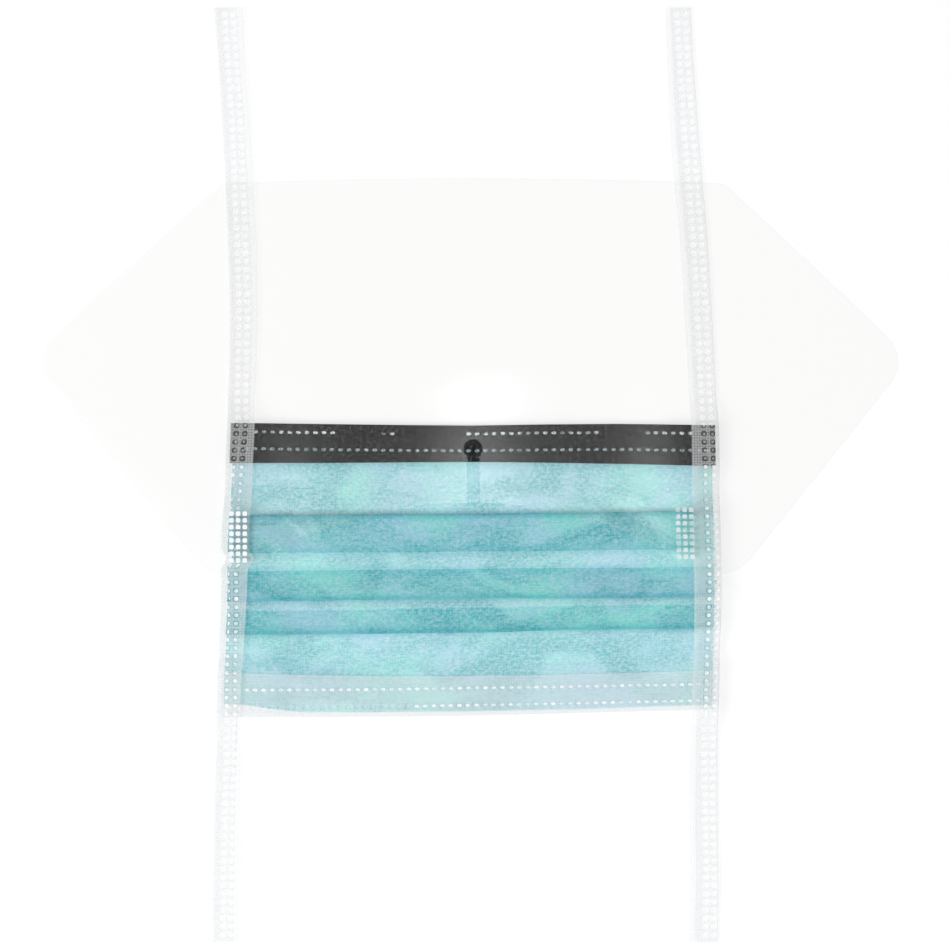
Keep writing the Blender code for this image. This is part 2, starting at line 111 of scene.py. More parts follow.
# Weld patches that hold the film: name, middle, lean, and how little shows through their spots
Patch = namedtuple("Patch", "name x y lean least_cover most_cover")
PATCHES = (
    Patch("left_welds", -0.0809, -0.0216, 0.0, 0.90, 1.0),
    Patch("right_welds", 0.0748, -0.0203, 0.03, 0.22, 0.55),
)
PATCH_ROUNDING = 0.3
PATCH_SHARP_ANGLE = math.radians(40)

# The two rows of dots in a strip: their distances from its fold at its left end, middle and right end, and a
# distance that lies between them
DotRows = namedtuple("DotRows", "near far between")
STRIP_ROWS = DotRows((0.0031, 0.0030, 0.0030), (0.0090, 0.0089, 0.0090), 0.0065)
BINDING_ROWS = DotRows((0.0030, 0.0037, 0.0032), (0.0094, 0.0097, 0.0089), 0.0063)

# Waves in the soft pieces: their place in the noise, the distance between them and their height
Wave = namedtuple("Wave", "seed size height")
CLOTH_LONG_WAVE = Wave(1.5, 0.031, 0.00028)
CLOTH_SHORT_WAVE = Wave(4.5, 0.009, 0.00013)
CLOTH_DRIFT = Wave(8.5, 0.022, 0.00035)
TIE_REACH_WAVE = Wave(11.5, 0.017, 0.00025)
TIE_SWAY = Wave(3.5, 0.02, 0.0003)
TIE_LIFT = Wave(6.5, 0.012, 0.00025)
STRIP_LIFT = Wave(14.5, 0.019, 0.0002)
FILM_WAVE = Wave(21.5, 0.075, 0.0012)

# Creases in the film by a weld patch: their place in the noise, the distance between them, their middle as a
# share of the patch's distance from the mask's middle, how much less they spread along, and their lean
CREASE_SEED = 33.5
CREASE_SIZE = 0.011
CREASE_MIDDLE = 0.75
CREASE_SQUEEZE = 1.6
CREASE_LEAN = 2

# At how many cuts a solid is read: for the cloth's edges, its underside, along a strip, up a strip's slanted
# ends, and along a tie
EDGE_CUTS = 61
UNDERSIDE_CUTS = 81
STRIP_CUTS = 121
SLANT_CUTS = 31
TIE_CUTS = 481

# Small distances: from a solid's end to its first cut, from a ribbon's fold to its first dot, and between
# corners that count as one
END_GAP = 0.0001
FOLD_GAP = 0.0001
SAME_PLACE = 0.00001

# Painted shade at the edges of the gap between two pleats goes only on the cloth above this level, and a
# face of the film's solid that points up more than this is on its top
GAP_LEVEL = 1.5
TOP_FACING = 0.5

# What the finishes share: the fibres' depth, a ribbon's cover between its bond points and at them, as shares
# of its own, and white
FIBRE_DEPTH = 0.0002
BOND_COVER = (1.03, 0.7)
WHITE = (1.0, 1.0, 1.0, 1.0)

# A clear surface mirrors more at a slant, by this power of how far it is turned away
SLANT_POWER = 5.0


# Reading the solids


def axis_vector(axis):
    return Vector([float(axis == i) for i in range(3)])


def cuts(node, axis, places):
    """The lowest and highest corners of a solid where planes across an axis cut it, a row for each place."""
    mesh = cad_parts[node].data
    points = np.array([vert.co for vert in mesh.vertices])
    starts, ends = np.array([[points[i] for i in edge.vertices] for edge in mesh.edges]).transpose(1, 0, 2)
    lows = []
    highs = []
    for place in places:
        before = starts[:, axis] - place
        after = ends[:, axis] - place
        crossing = before * after < 0
        share = (before[crossing] / (before[crossing] - after[crossing]))[:, None]
        hits = starts[crossing] + share * (ends[crossing] - starts[crossing])
        lows.append(hits.min(axis=0))
        highs.append(hits.max(axis=0))
    return np.array(lows), np.array(highs)


class Reading:
    """A solid's extent at any place along an axis, read at a number of cuts that leave out its two ends."""

    def __init__(self, node, axis, count, end=END_GAP):
        low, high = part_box(node)
        self.places = np.linspace(low[axis] + end, high[axis] - end, count)
        self.lows, self.highs = cuts(node, axis, self.places)

    def low(self, component, place):
        return float(np.interp(place, self.places, self.lows[:, component]))

    def high(self, component, place):
        return float(np.interp(place, self.places, self.highs[:, component]))


# Small helpers


def smooth(share):
    share = min(1.0, max(0.0, share))
    return share * share * (3 - 2 * share)


def blend(low, high, share):
    return low + (high - low) * share


def line_y(line, share):
    """Where a fold line lies at a share of the half width."""
    below = float(np.polyval(np.polyfit(ACROSS, FOLD_LINES[line], len(ACROSS) - 1), share))
    return MASK_TOP - below * MASK_HEIGHT


def ripple(x, y, wave, shift=0):
    """A soft unevenness at a point, and another one of the same kind for each shift."""
    return noise.noise(Vector((x / wave.size, y / wave.size, wave.seed + shift))) * wave.height


def make_sheet(rows, columns, place):
    """A flat grid whose points are then placed by row and column, with its flat size in the UV map."""
    work = bmesh.new()
    layer = work.loops.layers.uv.new("flat")
    bmesh.ops.create_grid(work, x_segments=columns, y_segments=rows, size=0.5)
    cells = {}
    for face in work.faces:
        centre = face.calc_center_median()
        cells[int((0.5 - centre.y) * rows), int((centre.x + 0.5) * columns)] = face
    flat = {}
    for vert in work.verts:
        column = round((vert.co.x + 0.5) * columns)
        row = round((0.5 - vert.co.y) * rows)
        vert.co, flat[vert] = place(row, column)
    for face in work.faces:
        for loop in face.loops:
            loop[layer].uv = flat[loop.vert]
    work.normal_update()
    return work, cells


def turn_up(work, face):
    """Turns a sheet over where this face of it looks down."""
    if face.normal.z < 0:
        bmesh.ops.reverse_faces(work, faces=work.faces)


def finish_mesh(name, work, materials):
    mesh = bpy.data.meshes.new(name)
    work.to_mesh(mesh)
    work.free()
    mesh.shade_smooth()
    for material in materials:
        mesh.materials.append(material)
    piece = bpy.data.objects.new(name, mesh)
    bpy.context.scene.collection.objects.link(piece)
    return piece


def add_rounding(piece, levels):
    rounding = piece.modifiers.new("rounding", "SUBSURF")
    rounding.levels = levels
    rounding.render_levels = levels
    rounding.boundary_smooth = "PRESERVE_CORNERS"


def sizes():
    return bpy.context.scene.face_mask_sizes


def looks():
    return bpy.context.scene.face_mask_looks


def stage_settings():
    return bpy.context.scene.face_mask_stage


# Materials


def add_node(tree, kind, inputs, **settings):
    """A node with its settings, and with each named input linked to a node's output or set to a value."""
    node = tree.nodes.new(kind)
    for name, value in settings.items():
        setattr(node, name, value)
    for name, value in inputs.items():
        if isinstance(value, bpy.types.NodeSocket):
            tree.links.new(value, node.inputs[name])
        else:
            node.inputs[name].default_value = value
    return node


def flat_coordinates(tree):
    return add_node(tree, "ShaderNodeUVMap", {}, uv_map="flat").outputs["UV"]


def stretched(tree, vector, squeeze):
    """Coordinates that squeeze a pattern along the cloth's length, so that it looks drawn out across."""
    inputs = {"Vector": vector, "Scale": (1.0, squeeze, 1.0)}
    return add_node(tree, "ShaderNodeMapping", inputs).outputs["Vector"]


def noise_value(tree, vector, scale, detail=3.0, roughness=0.55, distortion=0.0):
    inputs = {"Vector": vector, "Scale": scale, "Detail": detail, "Roughness": roughness}
    inputs["Distortion"] = distortion
    return add_node(tree, "ShaderNodeTexNoise", inputs).outputs["Fac"]


def remapped(tree, value, low, high, to_low=0.0, to_high=1.0):
    inputs = {"Value": value, "From Min": low, "From Max": high, "To Min": to_low, "To Max": to_high}
    return add_node(tree, "ShaderNodeMapRange", inputs).outputs["Result"]


def mixed(tree, factor, first, second, kind="MIX"):
    """A mix of two colours, each a colour or the output of a node."""
    node = add_node(tree, "ShaderNodeMix", {"Factor": factor}, data_type="RGBA", blend_type=kind)
    for value, name in ((first, "A"), (second, "B")):
        socket = next(item for item in node.inputs if item.name == name and item.type == "RGBA")
        if isinstance(value, bpy.types.NodeSocket):
            tree.links.new(value, socket)
        else:
            socket.default_value = (*value, 1.0)
    return next(item for item in node.outputs if item.type == "RGBA")


def bond_pattern(tree, vector, pitch, size):
    """The fine grid of bond points that is pressed into a non-woven cloth, from 0 to 1 at each point."""
    inputs = {"Vector": vector, "Scale": 1 / pitch, "Randomness": 0.12}
    cells = add_node(tree, "ShaderNodeTexVoronoi", inputs, voronoi_dimensions="2D")
    return remapped(tree, cells.outputs["Distance"], size, 0.8 * size)


def bump(tree, height, strength):
    inputs = {"Height": height, "Strength": strength, "Distance": FIBRE_DEPTH}
    return add_node(tree, "ShaderNodeBump", inputs).outputs["Normal"]


def principled(tree, colour, roughness, specular, others):
    """A shader with a colour and a gloss, and with others of its inputs by their own names."""
    inputs = {"Base Color": colour, "Roughness": roughness, "Specular IOR Level": specular, **others}
    return add_node(tree, "ShaderNodeBsdfPrincipled", inputs)


def mixed_shader(tree, share, first, second):
    inputs = {"Fac": share, 1: first.outputs[0], 2: second.outputs[0]}
    return add_node(tree, "ShaderNodeMixShader", inputs)


def new_material(name):
    material = bpy.data.materials.new(name)
    material.use_nodes = True
    tree = material.node_tree
    tree.nodes.clear()
    return material, tree


def close_material(tree, shader):
    add_node(tree, "ShaderNodeOutputMaterial", {"Surface": shader.outputs[0]})


def teal_cloth():
    """Several thin plies of teal and white non-woven: cloudy, speckled, lit through from below, with painted
    shade.
    """
    look = looks()
    material, tree = new_material("teal_nonwoven")
    flat = flat_coordinates(tree)
    clouds = noise_value(tree, stretched(tree, flat, 1.9), 34.0, detail=6.0, roughness=0.58, distortion=0.8)
    hue = noise_value(tree, stretched(tree, flat, 1.4), 27.0, distortion=0.5)
    fibres = noise_value(tree, stretched(tree, flat, 1.4), 720.0, roughness=0.7, distortion=0.4)
    bonds = bond_pattern(tree, flat, look.bond_pitch, 0.34)
    tint = mixed(tree, remapped(tree, hue, 0.42, 0.58), look.teal_green, look.teal_blue)
    colour = mixed(tree, remapped(tree, clouds, 0.40, 0.58), look.teal_deep, tint)
    colour = mixed(tree, remapped(tree, fibres, 0.40, 0.64, 0.0, 0.52), colour, look.teal_pale)
    colour = mixed(tree, remapped(tree, bonds, 0.0, 1.0, 0.0, 0.14), colour, look.teal_pale)
    # Painted shade: where the shade attribute says, the colour is multiplied by the shaded teal
    shade = add_node(tree, "ShaderNodeAttribute", {}, attribute_name="shade").outputs["Fac"]
    colour = mixed(tree, shade, colour, mixed(tree, 1.0, colour, look.teal_shade, "MULTIPLY"))
    others = {"Alpha": look.teal_cover, "Sheen Weight": 0.1, "Normal": bump(tree, fibres, 0.35)}
    shader = principled(tree, colour, 0.85, 0.12, others)
    through = add_node(tree, "ShaderNodeBsdfTranslucent", {"Color": colour})
    close_material(tree, mixed_shader(tree, look.teal_glow, shader, through))
    return material


def white_cloth(name):
    """One thin ply of white non-woven, so sheer that what lies under it shows."""
    look = looks()
    material, tree = new_material(name)
    flat = flat_coordinates(tree)
    fibres = noise_value(tree, flat, 900.0, roughness=0.7, distortion=0.3)
    clouds = noise_value(tree, flat, 120.0, detail=2.0)
    bonds = bond_pattern(tree, flat, look.bond_pitch, 0.34)
    colour = mixed(tree, remapped(tree, fibres, 0.3, 0.7), look.white_deep, look.white_pale)
    colour = mixed(tree, remapped(tree, clouds, 0.35, 0.65, 0.0, 0.3), colour, look.white_deep)
    between, at = (share * look.white_cover for share in BOND_COVER)
    cover = remapped(tree, bonds, 0.0, 1.0, between, at)
    others = {"Alpha": cover, "Sheen Weight": 0.1, "Normal": bump(tree, fibres, 0.3)}
    close_material(tree, principled(tree, colour, 0.75, 0.2, others))
    return material


def black_cloth():
    """The black anti-glare non-woven, with pale specks of fibre."""
    look = looks()
    material, tree = new_material("black_nonwoven")
    flat = flat_coordinates(tree)
    fibres = noise_value(tree, flat, 800.0, roughness=0.7, distortion=0.3)
    bonds = bond_pattern(tree, flat, look.bond_pitch, 0.36)
    colour = mixed(tree, remapped(tree, fibres, 0.48, 0.68), look.black_deep, look.black_pale)
    colour = mixed(tree, remapped(tree, bonds, 0.0, 1.0, 0.0, 0.2), colour, look.black_pale)
    close_material(tree, principled(tree, colour, 0.8, 0.2, {"Normal": bump(tree, fibres, 0.35)}))
    return material


def weld(name, colour, least_cover, most_cover):
    """Spots where heat has melted the fibres into clear or white chips, some more than others."""
    material, tree = new_material(name)
    flat = flat_coordinates(tree)
    grain = noise_value(tree, flat, 1400.0, detail=2.0)
    taken = noise_value(tree, flat, 230.0, detail=1.0)
    dull = tuple(0.8 * value for value in colour)
    tone = mixed(tree, remapped(tree, grain, 0.3, 0.7, 0.0, 0.3), colour, dull)
    cover = remapped(tree, taken, 0.38, 0.62, least_cover, most_cover)
    close_material(tree, principled(tree, tone, 0.3, 0.5, {"Alpha": cover}))
    return material


def strip_weld(name, colour, low, high):
    """The black strip's weld spots are real welds; their pale, uneven brightness is a painted glint."""
    material, tree = new_material(name)
    flat = flat_coordinates(tree)
    taken = remapped(tree, noise_value(tree, flat, 120.0, detail=2.0, roughness=0.6), low, high)
    chips = noise_value(tree, flat, 1100.0, detail=2.0, roughness=0.6, distortion=0.5)
    inputs = {0: taken, 1: remapped(tree, chips, 0.38, 0.56, 0.15, 1.0)}
    # Painted glint: a noise makes some spots bright and leaves others nearly black
    painted_glint = add_node(tree, "ShaderNodeMath", inputs, operation="MULTIPLY").outputs[0]
    close_material(tree, principled(tree, mixed(tree, painted_glint, looks().black_deep, colour), 0.35, 0.5, {}))
    return material


def clear_film(name, cover=None):
    """Film: nearly all light goes straight through, and it mirrors a little. With a cover it's a cut edge."""
    look = looks()
    material, tree = new_material(name)
    clear = add_node(tree, "ShaderNodeBsdfTransparent", {"Color": (*look.film_tint, 1.0)})
    if cover is None:
        shader = principled(tree, WHITE, look.film_roughness, 0.2, {"Metallic": 1.0})
        facing = add_node(tree, "ShaderNodeLayerWeight", {}).outputs["Facing"]
        slant = add_node(tree, "ShaderNodeMath", {0: facing, 1: SLANT_POWER}, operation="POWER").outputs[0]
        cover = remapped(tree, slant, 0.0, 1.0, look.film_mirror, 1.0)
    else:
        shader = principled(tree, (*look.film_tone, 1.0), 0.3, 0.5, {})
    close_material(tree, mixed_shader(tree, cover, clear, shader))
    return material


def shared_material(name, make, *arguments):
    return bpy.data.materials.get(name) or make(name, *arguments)


# Cloth


def cloth_edges():
    """Readings of the solids that the pleated cloth follows."""
    end = sizes().slant
    return {
        "width": Reading("mask_body", 1, EDGE_CUTS, end),
        "length": Reading("mask_body", 0, UNDERSIDE_CUTS),
        "top": Reading("mask_body", 0, EDGE_CUTS, end),
        "strip": Reading("antiglare_strip", 0, EDGE_CUTS, end),
        "binding": Reading("bottom_binding", 0, EDGE_CUTS, end),
    }


def nose(y, facing, start, end, steps):
    """The turn of a fold whose outermost point is at y, as (y, level)."""
    size = sizes()
    radius = size.layer / 2
    turn = []
    for i in range(steps + 1):
        angle = math.pi * (i / steps - 0.5)
        level = blend(start, end, (math.sin(angle) + 1) / 2)
        turn.append((y - facing * radius * (1 - math.cos(angle)), level))
    return turn


def pleat_keys(share, edges):
    """The cloth's section at a share of its half width, from its top edge down, as (y, level)."""
    steps = sizes().fold_steps
    x = share * HALF_WIDTH
    upper = line_y("upper", share)
    middle = line_y("middle", share)
    lower = line_y("lower", share)
    upper_end = upper - PLEAT_DEPTHS["upper"] * MASK_HEIGHT
    middle_end = middle + PLEAT_DEPTHS["middle"] * MASK_HEIGHT
    lower_end = lower + PLEAT_DEPTHS["lower"] * MASK_HEIGHT
    rest = middle + PLEAT_REST_SHARE * PLEAT_DEPTHS["middle"] * MASK_HEIGHT
    climb = MIDDLE_STEP_LEVEL
    tuck = float(np.interp(share, TUCK_PLACES, TUCK_DEPTHS))
    path = [(edges["top"].high(1, x), 0)]
    path += [(edges["strip"].low(1, x), 0), (edges["strip"].low(1, x) - sizes().ramp, 0)]
    path += nose(upper_end, -1, 0, 1, steps)
    path += nose(upper, 1, 1, 2, steps)
    path += [(rest, 2)]
    path += nose(middle, -1, 2 + climb, 1 + climb, steps)
    path += [(rest, 1)]
    path += nose(middle_end, 1, 1, 0, steps)
    path += [(rest, 0), (middle, climb), (lower_end, 2)]
    path += nose(lower, -1, 2, 1, steps)
    path += nose(lower_end, 1, 1, 0, steps)
    path += [(edges["binding"].high(1, x) + sizes().ramp, 0), (edges["binding"].high(1, x), 0)]
    path += [(edges["binding"].low(1, x) + tuck, 0)]
    return path


def key_steps(keys):
    """How many steps each stretch of the section is divided into."""
    step = sizes().cloth_step
    lengths = [math.hypot(b[0] - a[0], (b[1] - a[1]) * sizes().layer) for a, b in zip(keys, keys[1:])]
    return [max(1, round(length / step)) for length in lengths]


def divided(keys, counts):
    path = []
    for (first, second), count in zip(zip(keys, keys[1:]), counts):
        for i in range(count):
            path.append((blend(first[0], second[0], i / count), blend(first[1], second[1], i / count)))
    return path + [keys[-1]]


def cloth_height(x, y, level, edges):
    """The middle of the thin cloth: it rises over the ties' rear legs, the strip's and the binding's."""
    size = sizes()
    under_strip = smooth((y - edges["strip"].low(1, x) + size.ramp) / size.ramp)
    under_binding = smooth((edges["binding"].high(1, x) + size.ramp - y) / size.ramp)
    rise = edges["length"].low(2, x) + size.layer * (level + max(under_strip, under_binding))
    return rise + size.cloth_lift


def cloth_shade(share, y, level, strip_edge):
    """Painted shade where the cloth turns at a fold, by the strip, and by the gap between two pleats."""
    size = sizes()
    upper = line_y("upper", share)
    middle = line_y("middle", share)
    shade = 0.0
    # Painted shade: a dark line just inside each fold's edge
    for fold, side in ((upper, -1), (middle, 1), (line_y("lower", share), 1)):
        distance = (y - fold) * side
        if -size.layer < distance:
            shade = max(shade, smooth(1 - abs(distance - size.crease_shade_place) / size.crease_shade_width))
    # Painted shade: a soft dark band along the strip's lower edge
    shade = max(shade, size.strip_shade * smooth(1 - abs(strip_edge - y) / size.strip_reach))
    # Painted shade: dark edges to the lighter gap between the upper two pleats
    if middle < y < upper and level > GAP_LEVEL:
        gap = upper - PLEAT_DEPTHS["upper"] * MASK_HEIGHT - size.gap_half
        shade = max(shade, size.gap_shade * smooth(1 - abs(abs(y - gap) - size.gap_half) / size.gap_half))
    return shade


def wrinkle(x, y, start, end, line):
    """How deep a short wrinkle along the width is at a point, from 0 to 1."""
    size = sizes()
    ends = smooth((x - start) / size.wrinkle_fade) * smooth((end - x) / size.wrinkle_fade)
    return ends * smooth(1 - abs(y - line) / size.wrinkle_width)


def make_cloth():
    size = sizes()
    edges = cloth_edges()
    columns = size.cloth_columns
    shares = [blend(-1, 1, i / columns) for i in range(columns + 1)]
    counts = key_steps(pleat_keys(0.0, edges))
    paths = [divided(pleat_keys(share, edges), counts) for share in shares]
    rows = len(paths[0]) - 1
    middle = paths[columns // 2]
    down = [0.0]
    for a, b in zip(middle, middle[1:]):
        down.append(down[-1] + math.hypot(b[0] - a[0], (b[1] - a[1]) * size.layer))

    shades = {}

    def place(row, column):
        share = shares[column]
        y, level = paths[column][row]
        left = edges["width"].low(0, y) + size.side_tuck
        right = edges["width"].high(0, y) - size.side_tuck
        x = blend(left, right, (share + 1) / 2)
        wave = ripple(x, down[row], CLOTH_LONG_WAVE) + ripple(x, down[row], CLOTH_SHORT_WAVE)
        free = smooth((1 - abs(share)) / size.still_share)
        line = max(wrinkle(x, y, *ends) for ends in WRINKLES)
        z = cloth_height(share * HALF_WIDTH, y, level, edges) + size.ripple_lift
        z += free * wave - line * size.wrinkle_depth
        along = ripple(x, down[row], CLOTH_DRIFT)
        spot = Vector((x, y + along, z))
        # The shade attribute holds painted shade: at the folds, by the strip, by the gap and in the wrinkles
        shade = cloth_shade(share, y, level, edges["strip"].low(1, share * HALF_WIDTH))
        shades[spot.freeze()] = max(shade, line * size.wrinkle_shade)
        return spot, (x - left, -down[row])

    work, cells = make_sheet(rows, columns, place)
    layer = work.verts.layers.float.new("shade")
    for vert in work.verts:
        vert[layer] = shades[vert.co.copy().freeze()]
    turn_up(work, cells[0, 0])
    piece = finish_mesh("pleated_cloth", work, [teal_cloth()])
    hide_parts("mask_body")
    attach(piece, BODY)


# Ribbons folded lengthways


def ribbon_section(reach, rear_reach, dots, dot_size, front_z, rear_z):
    """A folded ribbon's section, from the front leg's free edge round the fold to the rear leg's.

    Each point is its distance in from the fold, its height, and its flat distance from the front edge.
    """
    size = sizes()
    near, far = dots
    half = dot_size / 2
    front = [reach, (reach + far + half) / 2, far + half, far - half, near + half, near - half]
    rear = [near - half, near + half, far - half, far + half, rear_reach]
    height = front_z - rear_z
    radius = min(height / 2, size.fold_radius, near - half - FOLD_GAP)
    turn = []
    for i in range(size.fold_steps // 2 + 1):
        angle = math.pi / 2 * i / (size.fold_steps // 2)
        turn.append((radius * (1 - math.sin(angle)), radius * (1 - math.cos(angle))))
    points = [(offset, front_z) for offset in front]
    points += [(offset, front_z - drop) for offset, drop in turn]
    points += [(offset, rear_z + drop) for offset, drop in reversed(turn)]
    points += [(offset, rear_z) for offset in rear]
    flat = [0.0]
    for a, b in zip(points, points[1:]):
        flat.append(flat[-1] + math.hypot(b[0] - a[0], b[1] - a[1]))
    return [(offset, z, along) for (offset, z), along in zip(points, flat)]


# Columns of a ribbon's section that hold its dots, from its front edge and from its rear edge
FRONT_DOT_COLUMNS = (2, 4)
REAR_DOT_COLUMNS = (1, 3)


def dot_rows(start, end, pitch, size):
    """Places along a ribbon where its dots begin and end, from start to end, with the free ends."""
    count = int((end - start) // pitch)
    first = start + (end - start - count * pitch) / 2 + (pitch - size) / 2
    places = [start]
    for i in range(count):
        places += [first + i * pitch, first + i * pitch + size]
    return places + [end]


def press_dots(work, faces, depth, choose):
    """Insets the dots' faces, presses them towards the other leg, and gives each a rim, ring and centre."""
    size = sizes()
    kinds = [choose(face.calc_center_median()) for face in faces]
    for face, (rim, _, _) in zip(faces, kinds):
        face.material_index = rim
    bmesh.ops.inset_individual(work, faces=faces, thickness=size.dot_rim, use_even_offset=True)
    for vert in {vert for face in faces for vert in face.verts}:
        vert.co.z += depth
    for face, (_, ring, _) in zip(faces, kinds):
        face.material_index = ring
    bmesh.ops.inset_individual(work, faces=faces, thickness=size.dot_ring, use_even_offset=True)
    for face, (_, _, centre) in zip(faces, kinds):
        face.material_index = centre


def make_ribbon(name, places, section_at, to_world, materials, choose):
    """A folded ribbon with two rows of weld dots pressed through both its legs, and its flat width."""
    size = sizes()
    sections = [section_at(place) for place in places]
    columns = len(sections[0]) - 1
    rows = len(places) - 1

    def place(row, column):
        offset, z, across = sections[row][column]
        return to_world(places[row], offset, z), (across, places[row] - places[0])

    work, cells = make_sheet(rows, columns, place)
    dots = range(1, rows, 2)
    front = [cells[row, column] for row in dots for column in FRONT_DOT_COLUMNS]
    rear = [cells[row, columns - 1 - column] for row in dots for column in REAR_DOT_COLUMNS]
    turn_up(work, front[0])
    press_dots(work, front, -size.dot_depth, choose)
    press_dots(work, rear, size.dot_depth, choose)
    piece = finish_mesh(name, work, materials)
    add_rounding(piece, size.ribbon_levels)
    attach(piece, BODY)
    return piece, sum(section[-1][2] for section in sections) / len(sections)


# Places of the white ribbons' materials in their list, and of the black strip's in its own
CLOTH, CLEAR, HALF, BRIGHT = range(4)
CLOTH, TICK, RING, HEART = range(4)


def tie_materials():
    look = looks()
    return [
        shared_material("white_nonwoven", white_cloth),
        shared_material("clear_weld", weld, look.weld_clear, 0.03, 0.2),
        shared_material("half_weld", weld, look.weld_clear, 0.25, 0.6),
        shared_material("bright_weld", weld, look.weld_bright, 0.55, 0.98),
    ]


def make_tie(side):
    size = sizes()
    node = "tie_" + side
    reading = Reading(node, 1, TIE_CUTS)
    low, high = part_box(node)
    sign = -1 if side == "left" else 1
    table = TIE_DOTS[side]
    length = high.y - low.y
    places = [high.y - place for place in dot_rows(0.0, length, size.dot_pitch, size.dot_size)]
    strip_low, strip_high = (corner.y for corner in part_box("antiglare_strip"))

    def section_at(y):
        reach = reading.high(0, y) - reading.low(0, y)
        near = float(np.interp((high.y - y) / length, table.places, table.distances))
        front_z = reading.high(2, y) - size.solid_wall + size.ribbon_lift
        sway = ripple(0.0, y, TIE_REACH_WAVE, sign)
        dots = (near, near + ROW_SPACING)
        rear = size.rear_share * reach
        return ribbon_section(reach + sway, rear, dots, size.dot_size, front_z, size.ribbon_lift)

    def to_world(y, offset, z):
        fold = reading.low(0, y) if sign < 0 else reading.high(0, y)
        sway = ripple(0.0, y, TIE_SWAY, sign) * smooth(offset / size.sway_reach)
        lift = abs(ripple(offset, y, TIE_LIFT, sign))
        return Vector((fold - sign * offset + sway, y, z + lift))

    def choose(point):
        if strip_low < point.y < strip_high:
            return CLEAR, CLEAR, HALF
        return (CLEAR, BRIGHT, BRIGHT) if MASK_BOTTOM < point.y < strip_low else (CLEAR, CLEAR, CLEAR)

    piece, width = make_ribbon(node + "_ribbon", places, section_at, to_world, tie_materials(), choose)
    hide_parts(node)


def make_edge(node, name, fold_high, rows, materials, choose):
    """A strip folded over the cloth's top or bottom edge, between the two slanted sides."""
    size = sizes()
    reading = Reading(node, 0, STRIP_CUTS, size.slant)
    sides = Reading(node, 1, SLANT_CUTS, size.slant)
    low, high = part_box(node)
    half = (high.x - low.x) / 2
    middle = (high.x + low.x) / 2
    places = dot_rows(-half, half, size.dash_pitch, size.dash_length)

    def section_at(place):
        x = middle + place
        reach = reading.high(1, x) - reading.low(1, x)
        near, far = (float(np.interp(place / half, (-1, 0, 1), row)) for row in (rows.near, rows.far))
        rear_z = reading.low(2, x) + size.ribbon_lift
        front_z = reading.high(2, x) - size.solid_wall + size.ribbon_lift
        return ribbon_section(reach, reach, (near, far), size.dash_width, front_z, rear_z)

    def to_world(place, offset, z):
        x = middle + place
        y = reading.high(1, x) - offset if fold_high else reading.low(1, x) + offset
        x = blend(sides.low(0, y), sides.high(0, y), (place / half + 1) / 2)
        return Vector((x, y, z + abs(ripple(x, offset, STRIP_LIFT))))

    piece, width = make_ribbon(name, places, section_at, to_world, materials, choose)
    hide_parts(node)


def make_strip():
    look = looks()
    middle = MASK_TOP - STRIP_ROWS.between

    def choose(point):
        if point.y < middle:
            return CLOTH, RING, HEART
        taken = any(start < point.x < end for start, end in TICK_STRETCHES)
        return (CLOTH, TICK, TICK) if taken else (CLOTH, CLOTH, CLOTH)

    materials = [
        black_cloth(),
        strip_weld("strip_tick", look.chip_glint, 0.30, 0.48),
        # The ring colour is a dimmer painted glint on the inner row's spots
        strip_weld("strip_ring", look.ring, 0.10, 0.45),
        strip_weld("strip_heart", look.chip_glint, 0.36, 0.70),
    ]
    make_edge("antiglare_strip", "antiglare_ribbon", True, STRIP_ROWS, materials, choose)


def make_binding():
    middle = MASK_BOTTOM + BINDING_ROWS.between

    def choose(point):
        taken = point.y > middle or point.x > LOWER_WELDS_START
        return (CLOTH, BRIGHT, BRIGHT) if taken else (CLOTH, CLEAR, HALF)

    make_edge("bottom_binding", "binding_ribbon", False, BINDING_ROWS, tie_materials(), choose)


# The visor


def film_mesh(surface):
    """The film's outline from the top of its solid, cut into an even net and laid back on that surface."""
    size = sizes()
    work = bmesh.new()
    work.from_mesh(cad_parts["visor"].data)
    bmesh.ops.remove_doubles(work, verts=work.verts, dist=SAME_PLACE)
    under = [face for face in work.faces if face.normal.z < TOP_FACING]
    bmesh.ops.delete(work, geom=under, context="FACES")
    for vert in work.verts:
        vert.co.z = 0.0
    bmesh.ops.dissolve_faces(work, faces=work.faces, use_verts=False)
    low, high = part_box("visor")
    for axis in (0, 1):
        normal = axis_vector(axis)
        count = round((high[axis] - low[axis]) / size.film_step)
        for i in range(1, count):
            place = normal * blend(low[axis], high[axis], i / count)
            everything = [*work.verts, *work.edges, *work.faces]
            bmesh.ops.bisect_plane(work, geom=everything, dist=SAME_PLACE, plane_co=place, plane_no=normal)
    bmesh.ops.remove_doubles(work, verts=work.verts, dist=size.film_merge)
    rim = bmesh.ops.inset_region(work, faces=work.faces, thickness=size.film_rim, use_boundary=True)["faces"]
    for face in rim:
        face.material_index = 1
    for vert in work.verts:
        vert.co.z = height_on(surface, vert.co.x, vert.co.y)
    for _ in range(size.film_smoothing):
        bmesh.ops.smooth_vert(work, verts=work.verts, factor=0.5, use_axis_z=True)
    work.normal_update()
    turn_up(work, work.faces[:][0])
    return work


def film_surface():
    solid = bmesh.new()
    solid.from_mesh(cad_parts["visor"].data)
    surface = BVHTree.FromBMesh(solid)
    solid.free()
    return surface


def height_on(surface, x, y):
    """The height of a surface below a point, or that of its nearest edge."""
    above = Vector((x, y, sizes().look_height))
    hit = surface.ray_cast(above, Vector((0, 0, -1)))[0] or surface.find_nearest(above)[0]
    return hit.z


